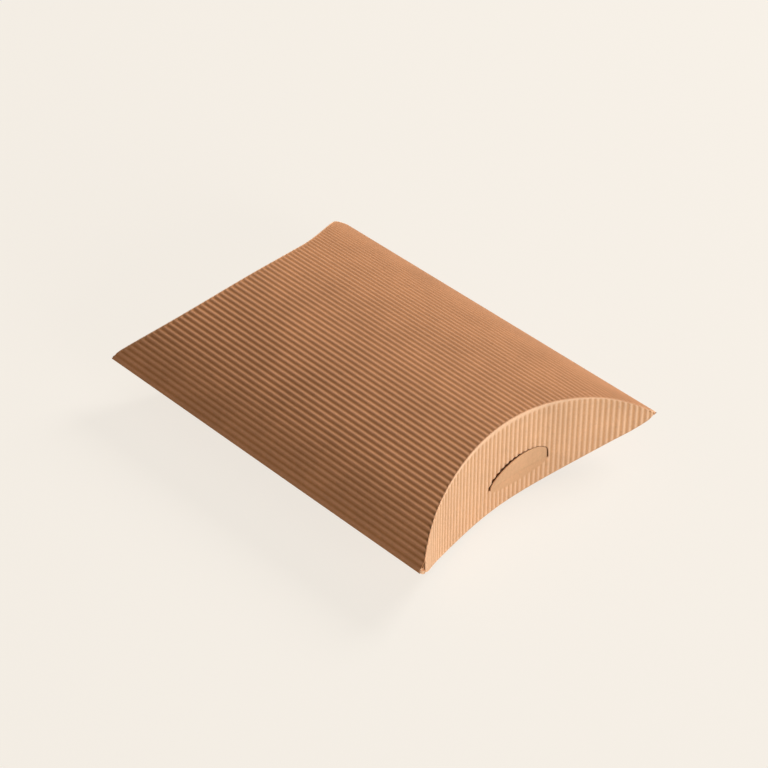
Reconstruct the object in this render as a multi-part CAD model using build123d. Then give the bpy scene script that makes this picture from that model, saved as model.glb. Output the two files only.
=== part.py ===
from build123d import *
import math
import os

# Pillow-shaped favor box of single-face fluted kraft board, flutes outside and along the length.
# +X runs along the length to the front end, +Y to the seam side, +Z up.
# The origin is under the middle of the box, on the surface that the bottom crown rests on.

# Driving dimensions of the box, in millimetres
box_length = 178.0        # tip to tip along a side fold
fold_width = 134.0        # from side fold to side fold
top_crown = 22.6          # rise of the top panel above the folds
bottom_crown = 20.0       # drop of the bottom panel below the folds
tip_cut = 2.5             # what the square cut takes off each pointed corner
tip_round = 1.6           # rounding of the cut corners, seen from above

# Shape of the bow across a panel: flatter at the crown, tighter near the folds
shoulder_share = 0.56     # where the flat arc ends, as a share of a plain arc's half angle
fold_share = 1.14         # angle at the fold, as a share of a plain arc's half angle

# The board: a flat liner inside and a fluted paper outside
liner_paper = 0.3
fluted_paper = 0.2
flute_height = 0.8
flute_pitch = 2.4
flute_flat = 0.9          # flat at the top of a flute
bond_line = 0.02          # starch glue between a flute and the liner
crushed_board = 0.6       # thickness where the flutes are pressed flat

# Folds and creases
side_fold_strip = 2.6     # pressed strip beside each side fold, along the bow
fold_nose = 0.7           # half height of the rounded side fold
crease_width = 1.3        # pressed band on each side of a curved crease
crease_sink = 0.25        # how far the pressed band lies below the flute tops
crease_bevel = 0.35       # what is taken off the crease's outer corner
hinge_clearance = 0.05    # between a crease and the flap as it turns past
flutes_per_chord = 5      # a curved end is cut in straight chords, each across this many flutes

# End flaps
flap_nest_gap = 0.3       # between the outer flap and the inner flap behind it
flap_edge_gap = 0.8       # between the outer flap's free edge and the bottom flute tops
flap_end_margin = 4.4     # ends of a flap from the side folds
inner_flap_rise = 6.5     # free edge of the inner flap above the folds

# Half-moon thumb tab in the outer flap
tab_chord = 30.9
tab_height = 8.1
tab_near_side = 0.8       # straight rise of its outline at the near end, before the arc
tab_far_side = 4.2        # and at the far end
tab_offset = 7.1          # middle of the tab from the middle of the flap
tab_drop = 7.1            # hinge line below the folds
tab_lean = 5.0            # degrees that the free edge stands out of the flap
tab_slit = 0.4            # width of the cut round the arc
tab_cut_chords = 12       # straight chords in the flap's side of that cut
tab_root_gap = 0.15       # between the tab and the flap along the hinge line
tab_sink = 0.1            # tab's face below the flute tops

# Glued seam inside the fold on the +Y side
glue_flap_width = 15.0
glue_flap_setback = 22.0  # ends of the glue flap from the tips
glue_film = 0.15
seam_clearance = 0.05     # on each side of the glue

board = flute_height + liner_paper
nest = board + flap_nest_gap
fold_level = bottom_crown
tip_reach = box_length / 2 + tip_cut
beyond = fold_width       # longer than any cut needs


class Bow:
    """Three tangent arcs from fold to fold, measured along the arc from the crown."""

    def __init__(self, width, crown):
        plain = 2 * math.atan(2 * crown / width)
        self.shoulder = shoulder_share * plain
        self.end = fold_share * plain
        sin_a, cos_a = math.sin(self.shoulder), math.cos(self.shoulder)
        sin_b, cos_b = math.sin(self.end) - sin_a, cos_a - math.cos(self.end)
        scale = sin_a * cos_b - sin_b * (1 - cos_a)
        self.flat_radius = (width / 2 * cos_b - sin_b * crown) / scale
        self.tight_radius = (sin_a * crown - (1 - cos_a) * width / 2) / scale
        self.crown = crown
        self.split = self.flat_radius * self.shoulder
        self.half = self.split + self.tight_radius * (self.end - self.shoulder)

    def at(self, along, rise):
        """Across and up, for a place along the arc and a rise outward from it."""
        side = math.copysign(1, along)
        if abs(along) <= self.split:
            angle = abs(along) / self.flat_radius
            reach = self.flat_radius + rise
            return side * reach * math.sin(angle), self.crown - self.flat_radius + reach * math.cos(angle)
        angle = self.shoulder + (abs(along) - self.split) / self.tight_radius
        shift = self.flat_radius - self.tight_radius
        reach = self.tight_radius + rise
        across = shift * math.sin(self.shoulder) + reach * math.sin(angle)
        up = self.crown - self.flat_radius + shift * math.cos(self.shoulder) + reach * math.cos(angle)
        return side * across, up

    def along(self, across, rise):
        """Place along the arc where it lies that far across, at a rise."""
        side = math.copysign(1, across)
        turn = math.asin(abs(across) / (self.flat_radius + rise))
        if turn <= self.shoulder:
            return side * self.flat_radius * turn
        shift = (self.flat_radius - self.tight_radius) * math.sin(self.shoulder)
        turn = math.asin((abs(across) - shift) / (self.tight_radius + rise))
        return side * (self.split + self.tight_radius * (turn - self.shoulder))


class Sheet:
    """Board laid along a bow: a place along it and a depth below its flute tops give a point."""

    def __init__(self, bow, place, inward=-1, base=0.0):
        self.bow = bow
        self.place = place
        self.inward = inward
        self.base = base

    def at(self, along, depth):
        return self.place(*self.bow.at(along, self.base + self.inward * depth))

    def along(self, across, depth):
        return self.bow.along(across, self.base + self.inward * depth)


def above_folds(across, up):
    return Vector(0, across, fold_level + up)


def below_folds(across, up):
    return Vector(0, across, fold_level - up)


def back_from_tips(across, up):
    return Vector(tip_reach - up, across, 0)


top_bow = Bow(fold_width, top_crown)
bottom_bow = Bow(fold_width, bottom_crown)
top_panel = Sheet(top_bow, above_folds)
bottom_panel = Sheet(bottom_bow, below_folds)
outer_flap = Sheet(top_bow, back_from_tips, inward=1)
inner_flap = Sheet(top_bow, back_from_tips, inward=1, base=nest)
inner_flap_edge = Sheet(Bow(fold_width, inner_flap_rise), above_folds)


def reach_of_flutes(bow):
    """Half the width of the flutes that fit between the folds, an even count of them."""
    return flute_pitch * int((bow.half - side_fold_strip) / flute_pitch)


top_reach = reach_of_flutes(top_bow)
bottom_reach = reach_of_flutes(bottom_bow)
flap_half_width = fold_width / 2 - flap_end_margin


def bow_arcs(sheet, depth, start, stop):
    """Arcs along a sheet at one depth, broken at the shoulders of its bow."""
    ends = [start, stop]
    for shoulder in (-sheet.bow.split, sheet.bow.split):
        if min(start, stop) < shoulder < max(start, stop):
            ends.append(shoulder)
    ends.sort(reverse=stop < start)
    return [
        ThreePointArc(sheet.at(a, depth), sheet.at((a + b) / 2, depth), sheet.at(b, depth))
        for a, b in zip(ends, ends[1:])
    ]


def bow_chords(sheet, depth, start, stop):
    """Straight chords along a sheet at one depth, which meet on flute tops."""
    step = flutes_per_chord * flute_pitch
    count = int(sheet.bow.half / step) + 1
    ends = [start, stop]
    for chord in range(-count, count + 1):
        meeting = (chord + 0.5) * step
        if min(start, stop) < meeting < max(start, stop):
            ends.append(meeting)
    ends.sort(reverse=stop < start)
    return [Line(sheet.at(a, depth), sheet.at(b, depth)) for a, b in zip(ends, ends[1:])]


def band(sheet, near, deep, start, stop, edges_of=bow_arcs):
    """Face between two depths of a sheet."""
    edges = edges_of(sheet, near, start, stop)
    edges.append(Line(sheet.at(stop, near), sheet.at(stop, deep)))
    edges += edges_of(sheet, deep, stop, start)
    edges.append(Line(sheet.at(start, deep), sheet.at(start, near)))
    return Face(Wire(edges))


def liner(sheet, reach):
    """Face of the flat paper under the flutes."""
    return band(sheet, flute_height + bond_line, board, -reach, reach)


def wave(sheet, reach, depth):
    """Corners of one face of the fluted paper, whose tops lie at a depth, from valley to valley."""
    valley = depth + flute_height - fluted_paper
    corners = [sheet.at(-reach, valley)]
    for flute in range(round(2 * reach / flute_pitch)):
        middle = (flute + 0.5) * flute_pitch - reach
        corners.append(sheet.at(middle - flute_flat / 2, depth))
        corners.append(sheet.at(middle + flute_flat / 2, depth))
        corners.append(sheet.at(middle + flute_pitch / 2, valley))
    return corners


def flutes(sheet, reach):
    """Face of the fluted paper across a sheet, in flat facets."""
    outline = wave(sheet, reach, 0) + wave(sheet, reach, fluted_paper)[::-1]
    return Face(Wire.make_polygon(outline, close=True))


def along_x(face, start, stop):
    """Solid of a face in the plane X = 0, from one X to another."""
    return extrude(Pos(start, 0, 0) * face, amount=stop - start, dir=(1, 0, 0))


def along_z(face):
    """Solid of a face in the plane Z = 0, past the box above and below."""
    return extrude(Pos(0, 0, -beyond) * face, amount=2 * beyond + fold_level, dir=(0, 0, 1))


def rear(piece):
    """The same piece at the other end."""
    return mirror(piece, about=Plane.YZ)


# Panels: each sheet runs the whole length, and its ends follow the curved creases

crease_depth = crease_sink + crease_width


def panel_plan(flap, corner):
    """Front half of a panel from above: a corner, the curved end behind a flap, the other corner."""
    end = flap.along(corner[-1].Y, crease_depth)
    corner = [Vector(0, beyond, 0)] + corner
    other = [Vector(point.X, -point.Y, 0) for point in reversed(corner)]
    edges = [Line(a, b) for a, b in zip(corner, corner[1:])]
    edges += bow_chords(flap, crease_depth, end, -end)
    edges += [Line(a, b) for a, b in zip(other, other[1:])]
    edges.append(Line(other[-1], corner[0]))
    return along_z(Face(Wire(edges)))


def end_point(sheet, across, depth):
    """Point of a sheet that far across."""
    return sheet.at(sheet.along(across, depth), depth)


def panel_sheet(face, plan):
    """A sheet of one panel, cut to its outline at both ends."""
    front = along_x(face, 0, tip_reach) & plan
    return front + rear(front)


tip_start = top_panel.at(top_reach, 0).Y
top_corner = [Vector(box_length / 2, beyond, 0), Vector(box_length / 2, tip_start, 0),
              end_point(outer_flap, flap_half_width, 0), end_point(outer_flap, flap_half_width, crease_depth)]
bottom_end = end_point(inner_flap, tip_start, crease_depth)
bottom_corner = [Vector(bottom_end.X, beyond, 0), bottom_end]
top_plan = panel_plan(outer_flap, top_corner)
bottom_plan = panel_plan(inner_flap, bottom_corner)
top_liner = panel_sheet(liner(top_panel, top_reach), top_plan)
top_flutes = panel_sheet(flutes(top_panel, top_reach), top_plan)
bottom_liner = panel_sheet(liner(bottom_panel, bottom_reach), bottom_plan)
bottom_flutes = panel_sheet(flutes(bottom_panel, bottom_reach), bottom_plan)


# Side folds: pressed board bent to a V with a round nose, cut square at the tips

def side_fold(sign):
    """Strip along one side, from the last flute of the top round to that of the bottom."""
    nose_top, nose_bottom = sign * (top_bow.half - fold_nose), sign * (bottom_bow.half - fold_nose)
    edge_top, edge_bottom = sign * top_reach, sign * bottom_reach
    nose = above_folds(sign * (fold_width / 2 - fold_nose / 3), 0)
    apex = above_folds(sign * (fold_width / 2 - board / math.sin(top_bow.end)), 0)
    edges = bow_arcs(top_panel, 0, edge_top, nose_top)
    edges.append(ThreePointArc(top_panel.at(nose_top, 0), nose, bottom_panel.at(nose_bottom, 0)))
    edges += bow_arcs(bottom_panel, 0, nose_bottom, edge_bottom)
    corners = [bottom_panel.at(edge_bottom, 0), bottom_panel.at(edge_bottom, board), apex,
               top_panel.at(edge_top, board), top_panel.at(edge_top, 0)]
    edges += [Line(a, b) for a, b in zip(corners, corners[1:])]
    strip = along_x(Face(Wire(edges)), -box_length / 2, box_length / 2)
    tips = extrude(RectangleRounded(box_length, fold_width, tip_round), amount=beyond, both=True)
    return strip & tips


near_side_fold = side_fold(-1)
seam_side_fold = side_fold(1)

# Glued seam: a tongue of pressed board inside the top panel, held by a film of glue
seam_start = top_reach - glue_flap_width
seam_half_length = box_length / 2 - glue_flap_setback
film_depth = board + seam_clearance
tongue_depth = film_depth + glue_film + seam_clearance
film_face = band(top_panel, film_depth, film_depth + glue_film, seam_start, top_reach)
tongue_face = band(top_panel, tongue_depth, tongue_depth + crushed_board, seam_start, top_reach)
seam_glue = along_x(film_face, -seam_half_length, seam_half_length)
glue_flap = along_x(tongue_face, -seam_half_length, seam_half_length)


# Creases: the pressed corner where a panel turns into its flap

flap_span = Box(2 * tip_reach, 2 * flap_half_width, 2 * beyond)


def crease(panel, flap):
    """Angle section with a bevelled corner, along the curved line where panel and flap meet."""
    def bar(near):
        across = band(panel, near, crease_depth, -bottom_reach, bottom_reach, bow_chords)
        upright = band(flap, near, crease_depth, -top_reach, top_reach, bow_chords)
        return along_x(across, 0, tip_reach) & along_z(upright) & flap_span

    corner = panel.at(0, crease_sink) + Vector(flap.at(0, crease_sink).X, 0, 0)
    outward = Vector(panel.bow.crown / flap.bow.crown, 0, math.copysign(1, corner.Z - fold_level)).normalized()
    bevel = Plane(corner - outward * crease_bevel, z_dir=outward)
    return split(bar(crease_sink) - bar(crease_sink + crushed_board), bisect_by=bevel, keep=Keep.BOTTOM)


front_top_crease = crease(top_panel, outer_flap)
front_bottom_crease = crease(bottom_panel, inner_flap)

# Flaps: sheets that stand upright behind one another, cut to curved edges seen from the end
flap_root_depth = crease_depth + board - crease_sink + hinge_clearance


def flap_side(upper, lower):
    """Everything between an upper edge and a lower edge that runs back, seen from the end."""
    sides = [Line(upper[-1] @ 1, lower[0] @ 0), Line(lower[-1] @ 1, upper[0] @ 0)]
    return along_x(Face(Wire(upper + lower + sides)), 0, tip_reach) & flap_span


def half_moon(grow, foot, chords=0):
    """Prism through the front end with the tab's outline, wider by grow round it, from a foot up."""
    near, far = tab_offset - tab_chord / 2 - grow, tab_offset + tab_chord / 2 + grow
    near_foot, far_foot = above_folds(near, foot), above_folds(far, foot)
    near_top = above_folds(near, tab_near_side + grow - tab_drop)
    far_top = above_folds(far, tab_far_side + grow - tab_drop)
    arc = ThreePointArc(near_top, above_folds(tab_offset, tab_height + grow - tab_drop), far_top)
    rim = [Line(arc @ (k / chords), arc @ ((k + 1) / chords)) for k in range(chords)] or [arc]
    sides = [Line(far_top, far_foot), Line(far_foot, near_foot), Line(near_foot, near_top)]
    return along_x(Face(Wire(rim + sides)), 0, tip_reach)


# Outer flap: hangs from the top crease, down to just above the bottom panel's flute tops
outer_side = flap_side(bow_chords(top_panel, flap_root_depth, -top_reach, top_reach),
                       bow_chords(bottom_panel, flap_edge_gap, bottom_reach, -bottom_reach))
outer_cut = outer_side - half_moon(tab_slit, -tab_drop, tab_cut_chords)
front_outer_liner = along_z(liner(outer_flap, top_reach)) & outer_cut
front_outer_flutes = along_z(flutes(outer_flap, top_reach)) & outer_cut

# Inner flap: stands on the bottom crease, and its free edge ends a little above the folds
inner_side = flap_side(bow_chords(inner_flap_edge, 0, -inner_flap_edge.bow.half, inner_flap_edge.bow.half),
                       bow_chords(bottom_panel, flap_root_depth, bottom_reach, -bottom_reach))
front_inner_liner = along_z(liner(inner_flap, top_reach)) & inner_side
front_inner_flutes = along_z(flutes(inner_flap, top_reach)) & inner_side


# Thumb tab: pressed flat, hinged on its chord, free edge a little proud of the flap

def chord_end(sign):
    """End of the tab's hinge line, on the outer flap's flute tops."""
    foot = end_point(outer_flap, tab_offset + sign * tab_chord / 2, 0)
    return foot + Vector(0, 0, fold_level - tab_drop)


tab_axis = Axis(chord_end(-1), chord_end(1) - chord_end(-1))
tab_blank = along_z(band(outer_flap, tab_sink, tab_sink + crushed_board, -top_reach, top_reach))
front_thumb_tab = (tab_blank & half_moon(0, tab_root_gap - tab_drop)).rotate(tab_axis, tab_lean)

os.makedirs("parts", exist_ok=True)

front_pieces = {
    "top_crease": front_top_crease,
    "bottom_crease": front_bottom_crease,
    "outer_flap_liner": front_outer_liner,
    "outer_flap_flutes": front_outer_flutes,
    "inner_flap_liner": front_inner_liner,
    "inner_flap_flutes": front_inner_flutes,
    "thumb_tab": front_thumb_tab,
}
pieces = {
    "top_liner": top_liner,
    "top_flutes": top_flutes,
    "bottom_liner": bottom_liner,
    "bottom_flutes": bottom_flutes,
    "near_side_fold": near_side_fold,
    "seam_side_fold": seam_side_fold,
    "glue_flap": glue_flap,
    "seam_glue": seam_glue,
}
for name, piece in front_pieces.items():
    pieces["front_" + name] = piece
    pieces["rear_" + name] = rear(piece)

for name, piece in pieces.items():
    export_step(piece, f"parts/{name}.step")

apex_x = tip_reach - top_crown
start, direction = tab_axis.position, tab_axis.direction
print("flutes on top and bottom", 2 * top_reach / flute_pitch, 2 * bottom_reach / flute_pitch)
print("outer flap axis", round(apex_x, 3), round(fold_level + top_crown, 3))
print("inner flap axis", round(apex_x - nest, 3), 0.0)
print("tab axis", [round(v, 3) for v in start], [round(v, 5) for v in direction])
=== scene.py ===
import math

import bmesh
import bpy
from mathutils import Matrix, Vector


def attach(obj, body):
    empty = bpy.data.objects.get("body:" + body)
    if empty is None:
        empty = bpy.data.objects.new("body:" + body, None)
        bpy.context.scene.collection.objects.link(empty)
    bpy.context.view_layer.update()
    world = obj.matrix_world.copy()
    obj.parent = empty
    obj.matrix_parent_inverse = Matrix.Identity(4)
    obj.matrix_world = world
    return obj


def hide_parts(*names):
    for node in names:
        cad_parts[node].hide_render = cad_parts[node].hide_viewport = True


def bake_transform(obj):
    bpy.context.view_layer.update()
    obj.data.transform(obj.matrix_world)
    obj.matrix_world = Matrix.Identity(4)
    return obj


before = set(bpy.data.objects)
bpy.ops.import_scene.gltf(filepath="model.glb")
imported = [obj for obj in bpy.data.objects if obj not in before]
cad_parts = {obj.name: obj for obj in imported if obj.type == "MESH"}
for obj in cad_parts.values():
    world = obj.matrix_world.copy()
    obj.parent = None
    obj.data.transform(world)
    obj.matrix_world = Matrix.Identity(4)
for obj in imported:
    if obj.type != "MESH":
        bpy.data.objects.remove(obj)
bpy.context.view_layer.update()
mm = 0.001

# sizes in mm, down to foldShare the same as the solids; +X to the front end, -Y to the near fold
box = {
    "length": 178.0,
    "foldWidth": 134.0,
    "topCrown": 22.6,
    "bottomCrown": 20.0,
    "tipCut": 2.5,          # cut off each pointed corner
    "shoulderShare": 0.56,  # the bow is flatter at the crown than a plain arc
    "foldShare": 1.14,      # and steeper at the folds
    "cornerRound": 1.2,     # the crease turns square there
    "flapNear": 62.2,       # reach of an end flap to the near side
    "flapFar": 66.3,        # and to the far side, where its end is tucked tight
    "creaseOut": 0.7,       # the creases stand out this much at the pressed corner
    "tipInset": 0.05,       # a flap's corner behind the tips
    "flare": 3.6,           # the far rear corner is bent out a little, as by handling
    "flareFrom": 22.0,      # from this far across
    "flareTo": 60.0,
    "rearNear": -1.1,       # and the near rear one is bent in
    "rearNearTo": 50.0,
    "nest": 1.4,            # inner flap behind the outer one
}
foldLevel = box["bottomCrown"]
creaseTip = box["length"] / 2 + box["tipCut"] + box["creaseOut"]


def linear(hexColour):
    parts = [int(hexColour[i:i + 2], 16) / 255 for i in (1, 3, 5)]
    return [c / 12.92 if c <= 0.04045 else ((c + 0.055) / 1.055) ** 2.4 for c in parts] + [1.0]


# one node with its settings and links; inputs by place or by name, the output by name or the first in use
def addNode(tree, kind, inputs=(), out=None, **settings):
    node = tree.nodes.new(kind)
    for name, value in settings.items():
        setattr(node, name, value)
    live = [socket for socket in node.inputs if not socket.is_unavailable]
    named = inputs.items() if isinstance(inputs, dict) else enumerate(inputs)
    for key, value in named:
        socket = live[key] if isinstance(key, int) else next(s for s in live if s.name == key)
        if isinstance(value, bpy.types.NodeSocket):
            tree.links.new(value, socket)
        else:
            socket.default_value = value
    outputs = [socket for socket in node.outputs if not socket.is_unavailable]
    return next((s for s in outputs if s.name == out), outputs[0] if outputs else None)


# Materials

# unbleached kraft paper, machine made and uncoated: matt and warm brown, with short fibres that lie
# every way, cloudy tone from the pulp, and painted shade: the valleys are painted darker than the crests
kraft = {
    "flutePale": "#ecae82",
    "fluteValleyShade": "#d3925f",
    # the flaps' colours: the same paper painted paler, as painted light
    "flapLitPale": "#f8cda7",
    "flapLitValleyShade": "#d6a478",
    "linerPale": "#cfa377",
    "linerDeep": "#bd9062",
    "pressedPale": "#e6ba92",
    "pressedDeep": "#d6a67b",
    "cloudSize": 16.0,     # mm
    "cloudRange": (0.3, 0.7),
    "cloudTone": (0.93, 1.05),
    "fibreSize": 0.7,      # mm; real fibres are about 0.03 mm wide, drawn coarser so that they show
    "fibreStretch": (0.35, 1.0, 0.6),
    "fibreRange": (0.3, 0.72),
    "fibreTone": (0.9, 1.06),
    "grainSize": 0.35,     # mm
    "roughness": 0.82,
    "roughSpread": 0.08,
    "specular": 0.3,
    "fibreHeight": 0.6,    # beside the grain's
    "bump": 0.18,
    "bumpDepth": 0.12,     # mm
}


# a noise value brought into a range of tones
def toneOf(tree, value, given, tones):
    limits = {"From Min": given[0], "From Max": given[1], "To Min": tones[0], "To Max": tones[1]}
    return addNode(tree, "ShaderNodeMapRange", {"Value": value, **limits})


def kraftPaper(name, pale, deep):
    material = bpy.data.materials.new(name)
    material.use_nodes = True
    tree = material.node_tree
    shader = tree.nodes["Principled BSDF"]
    place = addNode(tree, "ShaderNodeTexCoord", out="Object")
    cloud = addNode(tree, "ShaderNodeTexNoise", {
        "Vector": place, "Scale": 1 / (kraft["cloudSize"] * mm), "Detail": 3.0})
    longWays = addNode(tree, "ShaderNodeMapping", {"Vector": place, "Scale": kraft["fibreStretch"]})
    fibre = addNode(tree, "ShaderNodeTexNoise", {
        "Vector": longWays, "Scale": 1 / (kraft["fibreSize"] * mm), "Detail": 4.0, "Distortion": 1.4})
    grain = addNode(tree, "ShaderNodeTexNoise", {
        "Vector": place, "Scale": 1 / (kraft["grainSize"] * mm), "Detail": 2.0})
    crest = addNode(tree, "ShaderNodeAttribute", out="Fac", attribute_name="crest")
    # painted shade: the valley colour where the crest share is 0, the crest colour where it is 1
    body = addNode(tree, "ShaderNodeMix", [crest, linear(deep), linear(pale)], data_type="RGBA")
    tone = toneOf(tree, cloud, kraft["cloudRange"], kraft["cloudTone"])
    fleck = toneOf(tree, fibre, kraft["fibreRange"], kraft["fibreTone"])
    shade = addNode(tree, "ShaderNodeMath", [tone, fleck], operation="MULTIPLY")
    colour = addNode(tree, "ShaderNodeVectorMath", {0: body, "Scale": shade}, operation="SCALE")
    tree.links.new(colour, shader.inputs["Base Color"])
    smoothest, roughest = [kraft["roughness"] + way * kraft["roughSpread"] for way in (-1, 1)]
    rough = toneOf(tree, fibre, (0.0, 1.0), (smoothest, roughest))
    tree.links.new(rough, shader.inputs["Roughness"])
    shader.inputs["Specular IOR Level"].default_value = kraft["specular"]
    height = addNode(tree, "ShaderNodeMath", [fibre, kraft["fibreHeight"], grain], operation="MULTIPLY_ADD")
    bump = addNode(tree, "ShaderNodeBump", {
        "Strength": kraft["bump"], "Distance": kraft["bumpDepth"] * mm, "Height": height})
    tree.links.new(bump, shader.inputs["Normal"])
    return material


kraftFlute = kraftPaper("kraftFluteMedium", kraft["flutePale"], kraft["fluteValleyShade"])
kraftFlapLit = kraftPaper("kraftFlapLitCopy", kraft["flapLitPale"], kraft["flapLitValleyShade"])   # the same paper painted paler, as painted light on the flaps
kraftLiner = kraftPaper("kraftLinerboard", kraft["linerPale"], kraft["linerDeep"])
kraftPressed = kraftPaper("kraftPressedBoard", kraft["pressedPale"], kraft["pressedDeep"])

# dried starch glue: a dull, slightly yellow film
starch = {"pale": "#d8c39a", "deep": "#c9b083", "patchSize": 6.0, "roughness": 0.5}   # size in mm
starchGlue = bpy.data.materials.new("starchGlueFilm")
starchGlue.use_nodes = True
glueTree = starchGlue.node_tree
glueShader = glueTree.nodes["Principled BSDF"]
gluePlace = addNode(glueTree, "ShaderNodeTexCoord", out="Object")
gluePatch = addNode(glueTree, "ShaderNodeTexNoise", {
    "Vector": gluePlace, "Scale": 1 / (starch["patchSize"] * mm)})
glueMix = [gluePatch, linear(starch["deep"]), linear(starch["pale"])]
glueColour = addNode(glueTree, "ShaderNodeMix", glueMix, data_type="RGBA")
glueTree.links.new(glueColour, glueShader.inputs["Base Color"])
glueShader.inputs["Roughness"].default_value = starch["roughness"]
print("materials made")


# The bow across a panel: three tangent arcs, measured along the arc from the crown

def makeBow(crown):
    half = box["foldWidth"] / 2
    plain = 2 * math.atan(crown / half)
    shoulder, end = box["shoulderShare"] * plain, box["foldShare"] * plain
    sinA, cosA = math.sin(shoulder), math.cos(shoulder)
    sinB, cosB = math.sin(end) - sinA, cosA - math.cos(end)
    scale = sinA * cosB - sinB * (1 - cosA)
    flat = (half * cosB - sinB * crown) / scale
    tight = (sinA * crown - (1 - cosA) * half) / scale
    return {"crown": crown, "shoulder": shoulder, "flat": flat, "tight": tight, "split": flat * shoulder,
            "half": flat * shoulder + tight * (end - shoulder)}


# across, up, and the outward direction in those two
def bowAt(bow, along, rise=0.0):
    side = math.copysign(1, along)
    past = max(0.0, abs(along) - bow["split"])
    angle = min(abs(along), bow["split"]) / bow["flat"] + past / bow["tight"]
    shift = bow["flat"] - bow["tight"] if past else 0.0
    reach = bow["flat"] - shift + rise
    across = side * (shift * math.sin(bow["shoulder"]) + reach * math.sin(angle))
    up = bow["crown"] - bow["flat"] + shift * math.cos(bow["shoulder"]) + reach * math.cos(angle)
    return across, up, side * math.sin(angle), math.cos(angle)


# place along the arc, found by halving between the crown and a little past the fold
search = {"past": 20.0, "steps": 50}


def alongAt(bow, across, rise=0.0):
    low, high = 0.0, bow["half"] + search["past"]
    for step in range(search["steps"]):
        middle = (low + high) / 2
        low, high = (middle, high) if bowAt(bow, middle, rise)[0] < abs(across) else (low, middle)
    return math.copysign(low, across)


topBow = makeBow(box["topCrown"])
bottomBow = makeBow(box["bottomCrown"])


def upAt(bow, across, rise=0.0):
    return bowAt(bow, alongAt(bow, across, rise), rise)[1]


def smooth(x):
    x = min(1.0, max(0.0, x))
    return x * x * (3 - 2 * x)


# the crease in plan follows the bow in elevation and turns square at the cut-off corners;
# given are its x towards that end and how much it still follows the bow
def creaseAt(way, across, up, tip=box["length"] / 2 - box["tipInset"]):
    flare = 0.0
    if way < 0:
        flare = box["flare"] * smooth((across - box["flareFrom"]) / (box["flareTo"] - box["flareFrom"]))
        flare += box["rearNear"] * smooth(-across / box["rearNearTo"])
    over = creaseTip + flare - up - tip
    root = math.sqrt(over ** 2 + box["cornerRound"] ** 2)
    return tip + (over - root) / 2, (1 - over / root) / 2


# Fluted sheet: Geometry Nodes lay a grid of rows along each column of a line, and press the flutes into it

sheetInputs = {
    "Geometry": "NodeSocketGeometry",
    "Columns": "NodeSocketInt",
    "Rows": "NodeSocketInt",
    "Pitch": "NodeSocketFloat",
    "Flute Depth": "NodeSocketFloat",
    "Crest Fullness": "NodeSocketFloat",
    "Base Depth": "NodeSocketFloat",
    "Crush Depth": "NodeSocketFloat",
    "Bend": "NodeSocketFloat",
    "Bend Start": "NodeSocketFloat",
    "Panel Direction": "NodeSocketVector",
    "Waver": "NodeSocketFloat",
    "Pressed Tone": "NodeSocketFloat",
    "Material": "NodeSocketMaterial",
}
columnValues = {
    "along": "FLOAT",                 # across the flutes
    "start": "FLOAT",                 # the column's ends, measured from the crease
    "stop": "FLOAT",
    "startFlat": "FLOAT",             # pressed flat over this length, then rising to full flutes
    "startFade": "FLOAT",
    "stopFade": "FLOAT",
    "fullness": "FLOAT",              # share of the flutes' height
    "panelNormal": "FLOAT_VECTOR",    # outward before and after the crease
    "sheetNormal": "FLOAT_VECTOR",
    "ribWay": "FLOAT_VECTOR",         # along the flutes after the crease
}
sheetDetail = {"cutMargin": 0.05, "waverSize": 14.0}   # mm; the first keeps the fades from having no length


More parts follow.
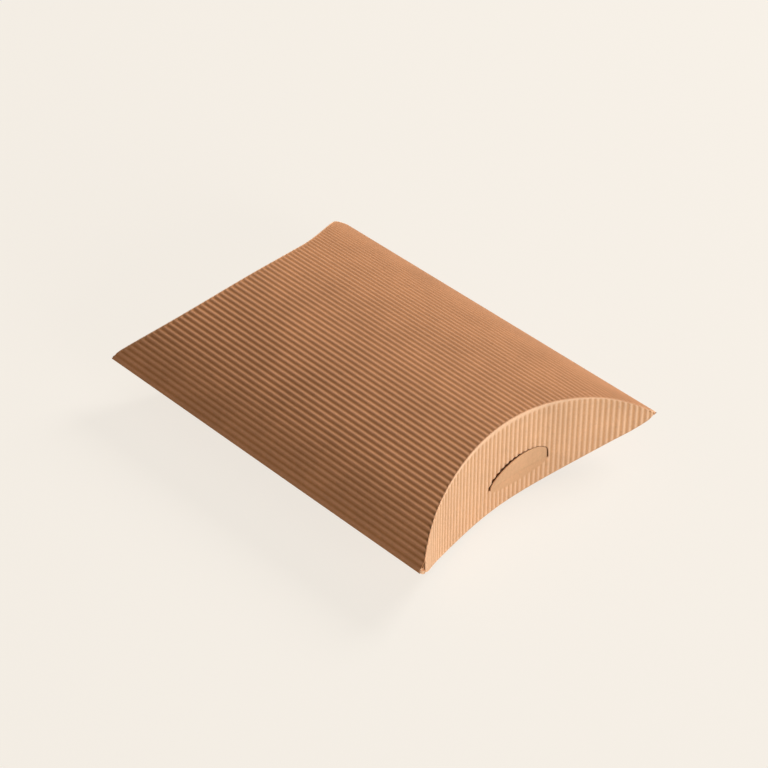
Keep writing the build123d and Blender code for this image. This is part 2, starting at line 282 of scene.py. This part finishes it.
def flutedSheetTree():
    tree = bpy.data.node_groups.new("flutedSheet", "GeometryNodeTree")
    for name, kind in sheetInputs.items():
        tree.interface.new_socket(name=name, in_out="INPUT", socket_type=kind)
    tree.interface.new_socket(name="Geometry", in_out="OUTPUT", socket_type="NodeSocketGeometry")
    given = tree.nodes.new("NodeGroupInput").outputs

    index = addNode(tree, "GeometryNodeInputIndex")
    column = addNode(tree, "ShaderNodeMath", [index, given["Columns"]], operation="MODULO")
    rowPart = addNode(tree, "ShaderNodeMath", [index, given["Columns"]], operation="DIVIDE")
    row = addNode(tree, "ShaderNodeMath", [rowPart], operation="FLOOR")
    lastRow = addNode(tree, "ShaderNodeMath", [given["Rows"], 1.0], operation="SUBTRACT")

    # what each column carries: where it starts and stops, how it fades, which way is out
    line = {"position": addNode(tree, "GeometryNodeInputPosition")}
    for name, kind in columnValues.items():
        line[name] = addNode(tree, "GeometryNodeInputNamedAttribute", {"Name": name}, data_type=kind)
    for name, value in list(line.items()):
        kind = columnValues.get(name, "FLOAT_VECTOR")
        line[name] = addNode(tree, "GeometryNodeSampleIndex", {
            "Geometry": given["Geometry"], "Value": value, "Index": column}, data_type=kind)

    # rows crowd towards both ends, where the flutes are crushed
    crowded = addNode(tree, "ShaderNodeMapRange", {
        "Value": row, "From Max": lastRow}, interpolation_type="SMOOTHSTEP")
    place = addNode(tree, "ShaderNodeMapRange", {
        "Value": crowded, "To Min": line["start"], "To Max": line["stop"]}, interpolation_type="SMOOTHSTEP")
    flatUntil = addNode(tree, "ShaderNodeMath", [line["start"], line["startFlat"]], operation="ADD")
    fullFrom = addNode(tree, "ShaderNodeMath", [flatUntil, line["startFade"]], operation="ADD")
    fullUntil = addNode(tree, "ShaderNodeMath", [line["stop"], line["stopFade"]], operation="SUBTRACT")
    margin = sheetDetail["cutMargin"] * mm
    cutStart = addNode(tree, "ShaderNodeMath", [flatUntil, margin], operation="SUBTRACT")
    cutStop = addNode(tree, "ShaderNodeMath", [line["stop"], margin], operation="ADD")
    fadeIn = addNode(tree, "ShaderNodeMapRange", {
        "Value": place, "From Min": cutStart, "From Max": fullFrom}, interpolation_type="SMOOTHSTEP")
    fadeOut = addNode(tree, "ShaderNodeMapRange", {
        "Value": place, "From Min": cutStop, "From Max": fullUntil}, interpolation_type="SMOOTHSTEP")
    fades = addNode(tree, "ShaderNodeMath", [fadeIn, fadeOut], operation="MULTIPLY")
    amount = addNode(tree, "ShaderNodeMath", [fades, line["fullness"]], operation="MULTIPLY")

    # the wave across, valley at the middle of the panel, with full crests and narrow valleys
    turns = addNode(tree, "ShaderNodeMath", [line["along"], given["Pitch"]], operation="DIVIDE")
    angle = addNode(tree, "ShaderNodeMath", [turns, 2 * math.pi], operation="MULTIPLY")
    cosine = addNode(tree, "ShaderNodeMath", [angle], operation="COSINE")
    swing = addNode(tree, "ShaderNodeMath", [cosine, -0.5, 0.5], operation="MULTIPLY_ADD")
    wave = addNode(tree, "ShaderNodeMath", [swing, given["Crest Fullness"]], operation="POWER")
    below = addNode(tree, "ShaderNodeMath", [1.0, wave], operation="SUBTRACT")
    dip = addNode(tree, "ShaderNodeMath", [
        below, given["Flute Depth"], given["Base Depth"]], operation="MULTIPLY_ADD")
    depth = addNode(tree, "ShaderNodeMix", [amount, given["Crush Depth"], dip], data_type="FLOAT")

    # the path of a column: along the panel, over the crease on its radius from its first angle,
    # then along the sheet
    sineStart = addNode(tree, "ShaderNodeMath", [given["Bend Start"]], operation="SINE")
    cosineStart = addNode(tree, "ShaderNodeMath", [given["Bend Start"]], operation="COSINE")
    bendDown = addNode(tree, "ShaderNodeMath", [given["Bend"], cosineStart], operation="MULTIPLY")
    sineDrop = addNode(tree, "ShaderNodeMath", [sineStart, 1.0], operation="SUBTRACT")
    bendBack = addNode(tree, "ShaderNodeMath", [given["Bend"], sineDrop], operation="MULTIPLY")
    turn = addNode(tree, "ShaderNodeMapRange", {
        "Value": place, "From Min": bendBack, "From Max": bendDown,
        "To Min": given["Bend Start"], "To Max": math.pi / 2})
    sine = addNode(tree, "ShaderNodeMath", [turn], operation="SINE")
    cosineTurn = addNode(tree, "ShaderNodeMath", [turn], operation="COSINE")
    sineGain = addNode(tree, "ShaderNodeMath", [sine, sineStart], operation="SUBTRACT")
    nearSide = addNode(tree, "ShaderNodeMath", [place, bendBack], operation="MINIMUM")
    farSide = addNode(tree, "ShaderNodeMath", [place, bendDown], operation="MAXIMUM")
    inside = addNode(tree, "ShaderNodeMath", [cosineTurn, given["Bend"]], operation="MULTIPLY")
    panelPart = addNode(tree, "ShaderNodeMath", [sineGain, given["Bend"], nearSide], operation="MULTIPLY_ADD")
    sheetPart = addNode(tree, "ShaderNodeMath", [farSide, inside], operation="SUBTRACT")
    onSheet = addNode(tree, "ShaderNodeVectorMath", {
        0: line["ribWay"], "Scale": sheetPart}, operation="SCALE")
    onPanel = addNode(tree, "ShaderNodeVectorMath", {
        0: given["Panel Direction"], "Scale": panelPart}, operation="SCALE")
    path = addNode(tree, "ShaderNodeVectorMath", [onSheet, onPanel], operation="ADD")
    spot = addNode(tree, "ShaderNodeVectorMath", [line["position"], path], operation="ADD")
    panelOut = addNode(tree, "ShaderNodeVectorMath", {
        0: line["panelNormal"], "Scale": cosineTurn}, operation="SCALE")
    sheetOut = addNode(tree, "ShaderNodeVectorMath", {
        0: line["sheetNormal"], "Scale": sine}, operation="SCALE")
    bothOut = addNode(tree, "ShaderNodeVectorMath", [panelOut, sheetOut], operation="ADD")
    outward = addNode(tree, "ShaderNodeVectorMath", [bothOut], operation="NORMALIZE")

    # board is never quite even, so the surface wavers a little
    waver = addNode(tree, "ShaderNodeTexNoise", {
        "Vector": spot, "Scale": 1 / (sheetDetail["waverSize"] * mm), "Detail": 2.0})
    uneven = addNode(tree, "ShaderNodeMath", [waver, 0.5], operation="SUBTRACT")
    sunk = addNode(tree, "ShaderNodeMath", [uneven, given["Waver"], depth], operation="MULTIPLY_ADD")
    inward = addNode(tree, "ShaderNodeVectorMath", {0: outward, "Scale": sunk}, operation="SCALE")
    finalSpot = addNode(tree, "ShaderNodeVectorMath", [spot, inward], operation="SUBTRACT")

    grid = addNode(tree, "GeometryNodeMeshGrid", {
        "Vertices X": given["Rows"], "Vertices Y": given["Columns"]})
    # crest share for the materials, which paint the valleys darker as painted shade; pressed parts take the
    # Pressed Tone
    crest = addNode(tree, "ShaderNodeMix", [amount, given["Pressed Tone"], wave], data_type="FLOAT")
    marked = addNode(tree, "GeometryNodeStoreNamedAttribute", {
        "Geometry": grid, "Name": "crest", "Value": crest}, data_type="FLOAT", domain="POINT")
    moved = addNode(tree, "GeometryNodeSetPosition", {"Geometry": marked, "Position": finalSpot})
    shaded = addNode(tree, "GeometryNodeSetShadeSmooth", {"Geometry": moved})
    real = addNode(tree, "GeometryNodeRealizeInstances", {"Geometry": shaded})
    painted = addNode(tree, "GeometryNodeSetMaterial", {"Geometry": real, "Material": given["Material"]})
    output = tree.nodes.new("NodeGroupOutput")
    tree.links.new(painted, output.inputs[0])
    return tree


flutedSheet = flutedSheetTree()


def bakeMesh(holder):
    depsgraph = bpy.context.evaluated_depsgraph_get()
    made = holder.evaluated_get(depsgraph)
    return bpy.data.meshes.new_from_object(made, preserve_all_data_layers=True, depsgraph=depsgraph)


# how sheets are joined: rows that crowd this close to a column's end become one with it,
# and sheets are welded where they meet; both in mm
joining = {"rows": 0.01, "seam": 0.001, "sharpAngle": 50.0}   # the last in degrees


def mergeRows(mesh, columnCount, rowCount):
    sheet = bmesh.new()
    sheet.from_mesh(mesh)
    sheet.verts.ensure_lookup_table()
    targets = {}
    for column in range(columnCount):
        spots = [sheet.verts[row * columnCount + column] for row in range(rowCount)]
        middle = rowCount // 2
        for end, others in ((spots[0], spots[1:middle]), (spots[-1], spots[-2:middle:-1])):
            near = [spot for spot in others if (spot.co - end.co).length < joining["rows"] * mm]
            targets.update({spot: end for spot in near})
    bmesh.ops.weld_verts(sheet, targetmap=targets)
    sheet.to_mesh(mesh)
    sheet.free()


# one mesh from a line of columns, given in mm
def sheetMesh(columns, settings, panelDirection, material):
    base = bpy.data.meshes.new("line")
    base.from_pydata([[c * mm for c in column["position"]] for column in columns], [], [])
    for name, kind in columnValues.items():
        values = [column[name] for column in columns]
        attribute = base.attributes.new(name, kind, "POINT")
        if kind == "FLOAT":
            attribute.data.foreach_set("value", [v * (1 if name == "fullness" else mm) for v in values])
        else:
            attribute.data.foreach_set("vector", [v for value in values for v in value])
    holder = bpy.data.objects.new("line", base)
    bpy.context.scene.collection.objects.link(holder)
    modifier = holder.modifiers.new("flutedSheet", "NODES")
    modifier.node_group = flutedSheet
    chosen = {
        "Columns": len(columns),
        "Rows": settings["rows"],
        "Pitch": board["pitch"] * mm,
        "Flute Depth": settings["fluteDepth"] * mm,
        "Crest Fullness": board["crestFullness"],
        "Base Depth": settings["baseDepth"] * mm,
        "Crush Depth": settings["crushDepth"] * mm,
        "Bend": settings["bend"] * mm,
        "Bend Start": math.radians(settings["bendStart"]),
        "Panel Direction": panelDirection,
        "Waver": settings["waver"] * mm,
        "Pressed Tone": settings["pressedTone"],
        "Material": material,
    }
    for item in flutedSheet.interface.items_tree:
        if item.in_out == "INPUT" and item.name in chosen:
            modifier[item.identifier] = chosen[item.name]
    mesh = bakeMesh(holder)
    bpy.data.objects.remove(holder)
    bpy.data.meshes.remove(base)
    mergeRows(mesh, len(columns), settings["rows"])
    return mesh


# sheets welded where they meet, turned to face out, and given the paper's thickness
def paperPiece(name, meshes, material, outward, thickness):
    joined = bmesh.new()
    for mesh in meshes:
        joined.from_mesh(mesh)
    bmesh.ops.remove_doubles(joined, verts=joined.verts, dist=joining["seam"] * mm)
    joined.normal_update()
    facing = sum((face.normal.dot(Vector(outward)) * face.calc_area() for face in joined.faces), 0.0)
    if facing < 0:
        bmesh.ops.reverse_faces(joined, faces=joined.faces)
    mesh = bpy.data.meshes.new(name)
    joined.to_mesh(mesh)
    joined.free()
    mesh.materials.append(material)
    piece = bpy.data.objects.new(name, mesh)
    bpy.context.scene.collection.objects.link(piece)
    wall = piece.modifiers.new("paper", "SOLIDIFY")
    wall.thickness = thickness * mm
    wall.offset = -1
    solid = bakeMesh(piece)
    piece.modifiers.remove(wall)
    piece.data = solid
    solid.set_sharp_from_angle(angle=math.radians(joining["sharpAngle"]))
    print("made", name, len(solid.polygons), "faces")
    return piece


# The board: F flute, fluted paper outside on a flat liner, in mm
board = {
    "pitch": 2.4,
    "columnsPerFlute": 10,
    "crestFullness": 1.0,
    "flutedPaper": 0.2,
    "linerPaper": 0.28,
}
crease = {"bend": 3.0, "bendStart": 62.0}   # pressed with a blunt rule: an edge, then a roll to the flap
creaseBack = crease["bend"] * (1 - math.sin(math.radians(crease["bendStart"])))   # its edge behind the corner
flutes = {
    "rows": 36,
    "fluteDepth": 0.34,
    "baseDepth": 0.0,
    "crushDepth": 0.1,
    "bend": 0.01,
    "bendStart": 0.0,
    "waver": 0.06,
    "pressedTone": 0.5,
}
# the pressed band along the flaps' crease takes the full pale crest colour, a painted highlight on the crease
flapFlutes = dict(flutes, **crease, fluteDepth=0.46, pressedTone=1.0)
flapLiner = dict(flutes, **crease, rows=20, fluteDepth=0.0, baseDepth=0.6, crushDepth=0.6)

# Panels: flutes along the length, pressed flat before each crease, lower beside the folds
panels = {
    "top": {"bow": topBow, "up": 1, "reach": 69.6, "inset": 0.0, "tip": 88.95, "endRound": 0.9},
    "bottom": {"bow": bottomBow, "up": -1, "reach": 67.2, "inset": box["nest"], "tip": 88.0, "endRound": 1.1},
}
foldSide = {"from": 2.4, "left": 0.85}   # flutes lose height over this distance from a panel's edge


def panelColumns(panel):
    bow = panel["bow"]
    count = round(2 * panel["reach"] / board["pitch"]) * board["columnsPerFlute"]
    columns = []
    for i in range(count + 1):
        along = panel["reach"] * (2 * i / count - 1)
        across, up, outAcross, outUp = bowAt(bow, along)
        creaseUp = upAt(topBow, across, panel["inset"])
        ends = [creaseAt(way, across, creaseUp, panel["tip"])[0] for way in (-1, 1)]
        rear, front = [end - creaseBack for end in ends]
        fromEdge = (panel["reach"] - abs(along)) / foldSide["from"]
        normal = (0.0, outAcross, panel["up"] * outUp)
        columns.append({
            "position": (-rear, across, foldLevel + panel["up"] * up),
            "along": along, "start": 0.0, "stop": rear + front,
            "startFlat": 0.0, "startFade": panel["endRound"], "stopFade": panel["endRound"],
            "fullness": foldSide["left"] + (1 - foldSide["left"]) * smooth(fromEdge),
            "panelNormal": normal, "sheetNormal": normal, "ribWay": (1, 0, 0),
        })
    return columns


for panelName, panel in panels.items():
    mesh = sheetMesh(panelColumns(panel), flutes, (1, 0, 0), kraftFlute)
    outward = (0, 0, panel["up"])
    piece = paperPiece(panelName + "Flutes", [mesh], kraftFlute, outward, board["flutedPaper"])
    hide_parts(panelName + "_flutes")
    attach(piece, "sleeve")
print("panels made")

# Side folds: pressed board that rolls from the top panel round to the bottom panel
sideFold = {
    "thickness": 1.3,
    "sink": 0.2,
    "nose": 0.7,           # left for the round at its edge, along each bow
    "stripSteps": 8,
    "noseSteps": 10,
    "rows": 12,
    "ribDepth": 0.3,
    "ribTop": 0.03,
    "ribFade": 0.5,        # flutes sink away over this share of the strip, beside the nose
    "tuckFar": 1.8,        # its lower half ends behind the flap
    "tuckNear": 0.0,
    "tuckOver": 1.2,
    "cutBackFar": 0.9,     # and its upper half at the crease's rounded corner
    "cutBackNear": 0.3,
    "backOver": 1.5,
    "cutFacing": 0.7,      # faces that point along the box more than this are cut ends
}


def foldColumns(side):
    strips = []
    for panel in (panels["top"], panels["bottom"]):
        edge = panel["bow"]["half"] - sideFold["nose"]
        strip = []
        for i in range(sideFold["stripSteps"] + 1):
            share = i / sideFold["stripSteps"]
            along = panel["reach"] + (edge - panel["reach"]) * share
            across, up, outAcross, outUp = bowAt(panel["bow"], along)
            full = foldSide["left"] * smooth((1 - share) / sideFold["ribFade"])
            strip.append((across, panel["up"] * up, outAcross, panel["up"] * outUp, along, full))
        strips.append(strip)
    above, below = strips[0], strips[1][::-1]

    # the nose is an arc that carries on from both strips
    topTurn, bottomTurn = [math.atan2(end[3], end[2]) for end in (above[-1], below[0])]
    radius = (above[-1][1] - below[0][1]) / 2 / math.cos(topTurn - math.pi / 2)
    centreAcross = above[-1][0] - radius * math.cos(topTurn)
    centreUp = above[-1][1] - radius * math.sin(topTurn)
    nose = []
    for i in range(1, sideFold["noseSteps"]):
        turn = topTurn + (bottomTurn - topTurn) * i / sideFold["noseSteps"]
        outAcross, outUp = math.cos(turn), math.sin(turn)
        across, up = centreAcross + radius * outAcross, centreUp + radius * outUp
        nose.append((across, up, outAcross, outUp, 0.0, 0.0))

    tuckMost, cutMost = [sideFold[name + ("Far" if side > 0 else "Near")] for name in ("tuck", "cutBack")]
    columns = []
    for across, up, outAcross, outUp, along, full in above + nose + below:
        tuck = tuckMost * smooth(-up / sideFold["tuckOver"])
        back = max(tuck, cutMost * smooth(up / sideFold["backOver"]))
        rear, front = [creaseAt(way, side * across, max(0.0, up))[0] - back for way in (-1, 1)]
        normal = (0.0, side * outAcross, outUp)
        columns.append({
            "position": (-rear, side * across, foldLevel + up),
            "along": along, "start": 0.0, "stop": rear + front,
            "startFlat": 0.0, "startFade": 0.0, "stopFade": 0.0, "fullness": full,
            "panelNormal": normal, "sheetNormal": normal, "ribWay": (1, 0, 0),
        })
    return columns


pressedFold = dict(flutes, rows=sideFold["rows"], fluteDepth=sideFold["ribDepth"],
                   baseDepth=sideFold["ribTop"], crushDepth=sideFold["sink"], waver=0.04)
for foldName, side in (("near_side_fold", -1), ("seam_side_fold", 1)):
    mesh = sheetMesh(foldColumns(side), pressedFold, (1, 0, 0), kraftFlute)
    pieceName = "nearFold" if side < 0 else "seamFold"
    piece = paperPiece(pieceName, [mesh], kraftFlute, (0, side, 0), sideFold["thickness"])
    piece.data.materials.append(kraftFlapLit)   # its cut ends take the flaps' lit copy of the paper, painted paler as painted light
    for face in piece.data.polygons:
        face.material_index = int(abs(face.normal.x) > sideFold["cutFacing"])
    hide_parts(foldName)
    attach(piece, "sleeve")
print("side folds made")

# Half-moon thumb tab in the outer flap, in mm across the flap and above its hinge line
tab = {
    "chord": 30.5,
    "arch": 6.6,          # half ellipse on two straight sides
    "nearSide": 0.7,
    "farSide": 3.2,
    "offset": 6.6,
    "drop": 7.1,          # hinge line below the folds
    "slit": 0.6,          # width of the cut round it, at its ends and at its top
    "slitTop": 0.25,
    "slitShift": 0.2,     # the cut stands open at its near end
    "columns": 60,
    "sideInset": 0.2,
    "leanNear": 11.0,     # degrees out on the hinge line
    "leanFar": -1.5,
    "rootGap": 0.02,
    "sink": 0.1,
    "thickness": 0.4,
    "ribLeft": 0.1,       # what is left of the flutes on it
    "bend": 1.5,          # it turns out over this height above the hinge line
    "pressed": 3.7,       # flutes are pressed this far below the hinge line, in the middle
    "pressedFade": 0.25,  # and rise again over this share of it
}


# height of the tab's outline above its hinge line
def tabArch(across, grow=0.0, growUp=0.0, shift=0.0):
    share = (across - tab["offset"] + shift) / (tab["chord"] / 2 + grow)
    if abs(share) >= 1:
        return 0.0
    side = tab["nearSide"] + (tab["farSide"] - tab["nearSide"]) * (share + 1) / 2
    return side + (tab["arch"] + growUp) * math.sqrt(1 - share ** 2)


# Outer flaps: they turn down from the top panel's crease, so each starts on the panel and bends round it
outerFlap = {
    "gapMiddle": 1.6,      # free edge above the bottom panel
    "gapNear": -1.5,
    "gapFar": 0.1,
    "gapOver": 46.0,       # the gap changes over this distance from the middle
    "gapTip": 12.0,        # and comes back over this one at the tips
    "least": 0.4,          # height that is left at the tips
    "seamShare": 0.75,     # above and below the hinge line are two sheets, which meet higher near the tips
    "pressedTone": 0.25,
    "ribFlat": 1.2,        # pressed along the crease, less towards the tips
    "ribFade": 1.8,
    "ribFadeEnds": 1.0,
    "ribOver": 60.0,
    "edgeCrush": 0.8,
    "blendFrom": 1.9,
    "blendLength": 13.0,
}
# Inner flaps: behind them, up from the bottom panel's crease to a free edge a little above the folds
innerFlap = {"half": 62.8, "rise": 6.5, "ribFade": 3.0, "blendFrom": 0.4, "blendLength": 14.0}
edgeBow = makeBow(innerFlap["rise"])


def flapColumn(way, across, along, up, z, panelOut, outAcross, outUp):
    x, follow = creaseAt(way, across, up)
    return {"position": (way * x, across, z), "along": along, "fullness": 1.0, "panelNormal": panelOut,
            "sheetNormal": Vector((way * outUp, -outAcross * follow, 0.0)).normalized(),
            "ribWay": (0, 0, -1), "startFlat": 0.0, "startFade": 0.0, "stopFade": 0.0}


def outerColumns(way, part):
    near, far = alongAt(topBow, -box["flapNear"]), alongAt(topBow, box["flapFar"])
    count = round((far - near) / board["pitch"] * board["columnsPerFlute"])
    columns = []
    for i in range(count + 1):
        along = near + (far - near) * i / count
        across, up, outAcross, outUp = bowAt(topBow, along)
        panelOut = (0.0, outAcross, outUp)
        column = flapColumn(way, across, along, up, foldLevel + up, panelOut, outAcross, outUp)
        fromTip = box["foldWidth"] / 2 - abs(across)
        toSide = smooth(abs(across) / outerFlap["gapOver"]) * smooth(fromTip / outerFlap["gapTip"])
        sideGap = outerFlap["gapNear" if across < 0 else "gapFar"]
        gap = outerFlap["gapMiddle"] + (sideGap - outerFlap["gapMiddle"]) * toSide
        freeEdge = max(up + upAt(bottomBow, across) - gap, outerFlap["least"])
        hinge = min(up + tab["drop"], freeEdge * outerFlap["seamShare"])
        if part == "above":
            arch = tabArch(across, tab["slit"], tab["slitTop"], tab["slitShift"])
            toEnds = smooth(abs(across) / outerFlap["ribOver"])
            ribFlat = outerFlap["ribFlat"] * (1 - toEnds)
            ribFade = outerFlap["ribFade"] + (outerFlap["ribFadeEnds"] - outerFlap["ribFade"]) * toEnds
            column.update(start=-creaseBack, stop=hinge - arch)
            column.update(startFlat=creaseBack + ribFlat, startFade=ribFade)
        else:
            share = (across - tab["offset"]) / (tab["chord"] / 2)
            pressed = tab["pressed"] * math.sqrt(max(0.0, 1 - share ** 2))
            column.update(start=hinge, stop=freeEdge, stopFade=outerFlap["edgeCrush"])
            column.update(startFlat=pressed, startFade=tab["pressedFade"] * pressed)
        columns.append(column)
    return columns


def innerColumns(way):
    reach = alongAt(topBow, innerFlap["half"], box["nest"])
    count = round(2 * reach / board["pitch"] * board["columnsPerFlute"])
    columns = []
    for i in range(count + 1):
        along = reach * (2 * i / count - 1)
        across, up, outAcross, outUp = bowAt(topBow, along, box["nest"])
        below = bowAt(bottomBow, alongAt(bottomBow, across))
        panelOut = (0.0, below[2], -below[3])
        column = flapColumn(way, across, along, up, foldLevel - below[1], panelOut, outAcross, outUp)
        column.update(start=-creaseBack, stop=below[1] + upAt(edgeBow, across), ribWay=(0, 0, 1))
        column["startFade"] = creaseBack + innerFlap["ribFade"]
        columns.append(column)
    return columns


def tabColumns(way):
    columns = []
    half = tab["chord"] / 2 - tab["sideInset"]
    for i in range(tab["columns"] + 1):
        share = i / tab["columns"]
        along = alongAt(topBow, tab["offset"] + half * (2 * share - 1))
        across, up, outAcross, outUp = bowAt(topBow, along)
        panelOut = (0.0, outAcross, outUp)
        column = flapColumn(way, across, along, up, foldLevel + up, panelOut, outAcross, outUp)
        hinge = up + tab["drop"]
        slope = math.tan(math.radians(tab["leanNear"] + (tab["leanFar"] - tab["leanNear"]) * share))
        x, y, z = column["position"]
        column.update(position=(x + way * slope * hinge, y, z), ribWay=(-way * slope, 0, -1),
                      start=hinge - tabArch(across), stop=hinge - tab["rootGap"], fullness=tab["ribLeft"])
        columns.append(column)
    return columns


pressedTab = dict(flutes, rows=12, fluteDepth=0.6, baseDepth=tab["sink"], crushDepth=tab["sink"], waver=0.03)
flapPlies = (
    ("Flutes", flapFlutes, kraftFlapLit, board["flutedPaper"]),
    ("Liner", flapLiner, kraftLiner, board["linerPaper"]),
)

# directions square to the blend, outward from the creases
for endName, way in (("front", 1), ("rear", -1)):
    outward = (way, 0, 0)
    for ply, settings, material, thickness in flapPlies:
        # outer flap, and the crease with its flutes
        tones = {"above": settings["pressedTone"], "below": outerFlap["pressedTone"]}
        meshes = [sheetMesh(outerColumns(way, part), dict(settings, pressedTone=tone), outward, material)
                  for part, tone in tones.items()]
        piece = paperPiece(endName + "OuterFlap" + ply, meshes, material, outward, thickness)
        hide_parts(f"{endName}_outer_flap_{ply.lower()}",
                    *([f"{endName}_top_crease"] if ply == "Flutes" else []))
        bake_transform(piece)
        # inner flap
        meshes = [sheetMesh(innerColumns(way), settings, outward, material)]
        piece = paperPiece(endName + "InnerFlap" + ply, meshes, material, outward, thickness)
        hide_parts(f"{endName}_inner_flap_{ply.lower()}",
                    *([f"{endName}_bottom_crease"] if ply == "Flutes" else []))
        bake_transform(piece)
    # thumb tab, which turns out of the outer flap
    mesh = sheetMesh(tabColumns(way), pressedTab, outward, kraftPressed)
    piece = paperPiece(endName + "Tab", [mesh], kraftPressed, outward, tab["thickness"])
    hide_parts(endName + "_thumb_tab")
    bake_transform(piece)
print("flaps and tabs made")

# CAD nodes that stay: the flat papers inside and the glued seam
keptNodes = {
    "top_liner": kraftLiner,
    "bottom_liner": kraftLiner,
    "glue_flap": kraftLiner,
    "seam_glue": starchGlue,
}
for nodeName, material in keptNodes.items():
    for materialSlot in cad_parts[nodeName].material_slots:
        materialSlot.material = material

# Stage: pale floor, soft light from the right and behind, warm fill
stage = {
    "floor": "#f5efe6",
    "floorHalf": 6.0,       # metres
    "floorRoughness": 0.9,
    "floorGlow": 0.88,      # share of its colour that the camera sees whatever the shadow
    "floorShade": 0.18,     # and share that the shadow takes part in
    "lampFar": 2.4,
    "side": {"power": 43.0, "size": 1.2, "way": (0.10, 0.80, 0.59)},
    "front": {"power": 32.9, "size": 1.2, "way": (0.95, -0.10, 0.25)},
    "fill": 0.10,
    "fillColour": "#ffe3c4",
}
floorMesh = bpy.data.meshes.new("floor")
half = stage["floorHalf"]
floorCorners = [(-half, -half, 0), (half, -half, 0), (half, half, 0), (-half, half, 0)]
floorMesh.from_pydata(floorCorners, [], [(0, 1, 2, 3)])
floor = bpy.data.objects.new("floor", floorMesh)
bpy.context.scene.collection.objects.link(floor)
floorPaint = bpy.data.materials.new("paleFloor")
floorPaint.use_nodes = True
floorTree = floorPaint.node_tree
floorShader = floorTree.nodes["Principled BSDF"]
floorShader.inputs["Base Color"].default_value = linear(stage["floor"])
floorShader.inputs["Roughness"].default_value = stage["floorRoughness"]
floorColour = Vector(linear(stage["floor"])[:3])
glow = addNode(floorTree, "ShaderNodeEmission", {
    "Color": linear(stage["floor"]), "Strength": stage["floorGlow"]})
shade = addNode(floorTree, "ShaderNodeBsdfDiffuse", {"Color": (*(floorColour * stage["floorShade"]), 1)})
seen = addNode(floorTree, "ShaderNodeAddShader", [glow, shade])
rays = floorTree.nodes.new("ShaderNodeLightPath").outputs
mirrorRays = [rays["Is Glossy Ray"], rays["Is Transmission Ray"]]
mirrored = addNode(floorTree, "ShaderNodeMath", mirrorRays, operation="MAXIMUM")
direct = addNode(floorTree, "ShaderNodeMath", [rays["Is Camera Ray"], mirrored], operation="MAXIMUM")
mixed = addNode(floorTree, "ShaderNodeMixShader", [direct, floorShader.outputs[0], seen])
floorTree.links.new(mixed, floorTree.nodes["Material Output"].inputs["Surface"])
floorMesh.materials.append(floorPaint)

for lampName in ("side", "front"):
    lamp = bpy.data.lights.new(lampName, "AREA")
    lamp.shape = "DISK"
    lamp.size = stage[lampName]["size"]
    lamp.energy = stage[lampName]["power"]
    holder = bpy.data.objects.new(lampName, lamp)
    way = Vector(stage[lampName]["way"]).normalized()
    holder.location = way * stage["lampFar"] + Vector((0, 0, foldLevel * mm))
    holder.rotation_mode = "QUATERNION"
    holder.rotation_quaternion = way.to_track_quat("Z", "Y")
    bpy.context.scene.collection.objects.link(holder)

world = bpy.data.worlds.new("studio")
world.use_nodes = True
bpy.context.scene.world = world
background = world.node_tree.nodes["Background"]
background.inputs["Color"].default_value = linear(stage["fillColour"])
background.inputs["Strength"].default_value = stage["fill"]
bpy.context.scene.view_settings.view_transform = "Standard"

# Camera at the photograph's angle
view = {
    "azimuth": 45.805,
    "elevation": 39.208,
    "far": 1.0534,          # metres
    "lens": 122.71,
    "sensor": 36.0,
    "shiftX": 0.00426,
    "shiftY": 0.00165,
}
azimuth, elevation = math.radians(view["azimuth"]), math.radians(view["elevation"])
level = math.cos(elevation)
back = Vector((math.sin(azimuth) * level, -math.cos(azimuth) * level, math.sin(elevation)))
camera = bpy.data.objects.new("camera", bpy.data.cameras.new("camera"))
camera.data.lens = view["lens"]
camera.data.sensor_width = view["sensor"]
camera.data.shift_x = view["shiftX"]
camera.data.shift_y = view["shiftY"]
camera.location = Vector((0, 0, foldLevel * mm)) + back * view["far"]
camera.rotation_mode = "QUATERNION"
camera.rotation_quaternion = (-back).to_track_quat("-Z", "Y")
bpy.context.scene.collection.objects.link(camera)
bpy.context.scene.camera = camera
print("stage and camera made")
